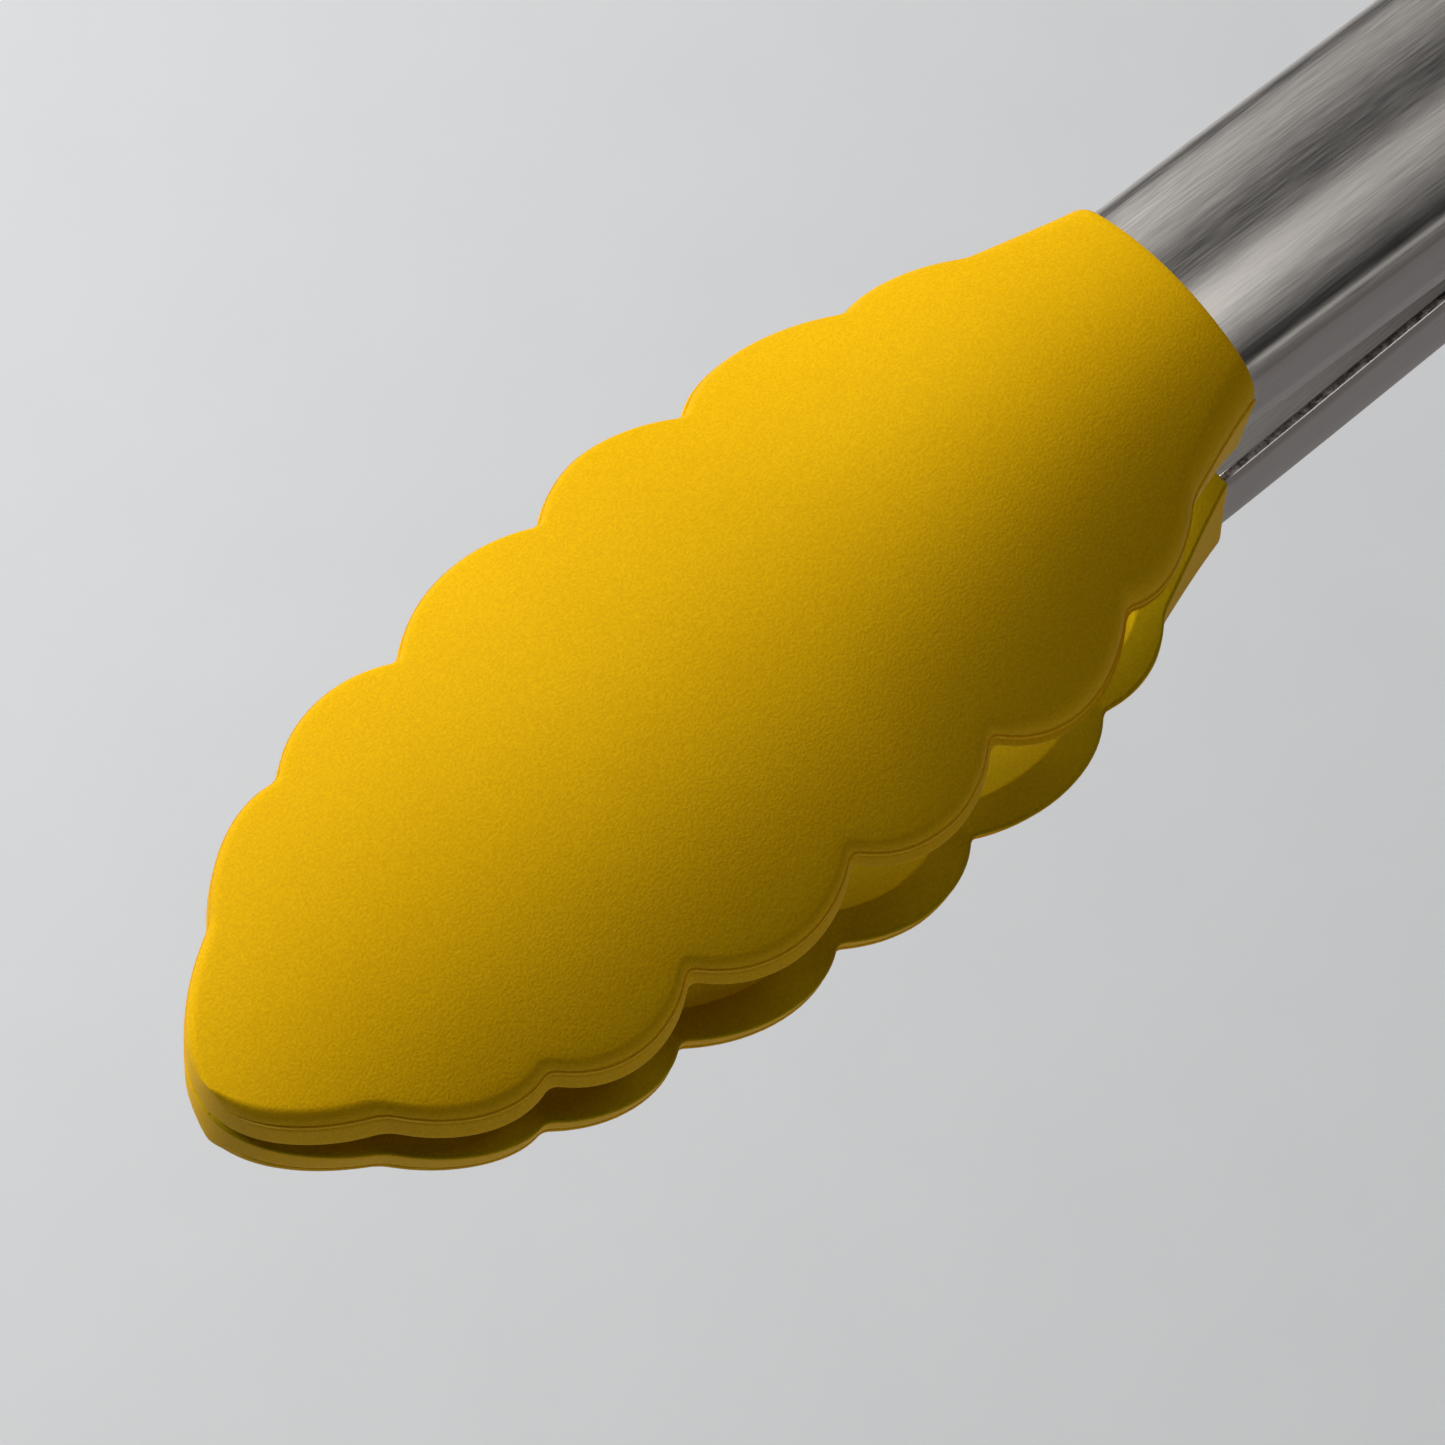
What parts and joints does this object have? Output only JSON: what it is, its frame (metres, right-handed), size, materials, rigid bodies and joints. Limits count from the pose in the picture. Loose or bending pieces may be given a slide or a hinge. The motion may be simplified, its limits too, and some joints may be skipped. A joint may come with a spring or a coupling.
{
  "type": "locking kitchen tongs",
  "caption": "Spring-loaded locking kitchen tongs with brushed steel arms and scalloped yellow silicone heads.",
  "frame": {"origin": "under the middle of the closed tongs, on the surface that the lower head rests on", "axes": "+X from the pull tab to the tips, +Y along the pivot axis, +Z the way the upper arm opens"},
  "size_m": [0.3004, 0.0432, 0.037],
  "materials": {
    "arm_steel": "brushed lengthwise, satin",
    "yellow_silicone": "fine satin silicone",
    "grip_rubber": "soft matte",
    "rivet_steel": "polished by tumbling",
    "white_nylon": "natural nylon",
    "spring_wire": "drawn wire",
    "lock_steel": "rolled sheet",
    "yellow_plastic": "fine moulded texture"
  },
  "bodies": {
    "pivot": {"pivot_rivet": "rivet_steel", "pivot_sleeve": "white_nylon", "ear_washers": "white_nylon", "torsion_spring": "spring_wire"},
    "upper": {"upper_arm": "arm_steel", "upper_silicone_head": "yellow_silicone", "upper_grip": "grip_rubber"},
    "lower": {"lower_arm": "arm_steel", "lower_silicone_head": "yellow_silicone", "lower_grip": "grip_rubber"},
    "lock": {"lock_bracket": "lock_steel", "lock_cross_pin": "rivet_steel", "cross_pin_caps": "rivet_steel", "tab_rivet": "rivet_steel", "pull_tab": "yellow_plastic"}
  },
  "joints": [
    {"name": "upper_hinge", "type": "hinge", "parent": "pivot", "child": "upper", "pos_m": [-0.10483, 0, 0.0185], "axis": [0, -1, 0], "range_deg": [0, 12], "stiffness_Nm_per_rad": 0.35, "springref_deg": 34.38},
    {"name": "lower_hinge", "type": "hinge", "parent": "pivot", "child": "lower", "pos_m": [-0.10483, 0, 0.0185], "axis": [0, 1, 0], "range_deg": [0, 12], "stiffness_Nm_per_rad": 0.35, "springref_deg": 34.38},
    {"name": "lock_slide", "type": "slide", "parent": "pivot", "child": "lock", "axis": [1, 0, 0], "range_m": [0, 0.005]}
  ],
  "couplings": [
    {"joint": "lower_hinge", "follows": "upper_hinge", "ratio": 1},
    {"joint": "lock_slide", "follows": "upper_hinge", "m_per_rad": 0.02387}
  ]
}
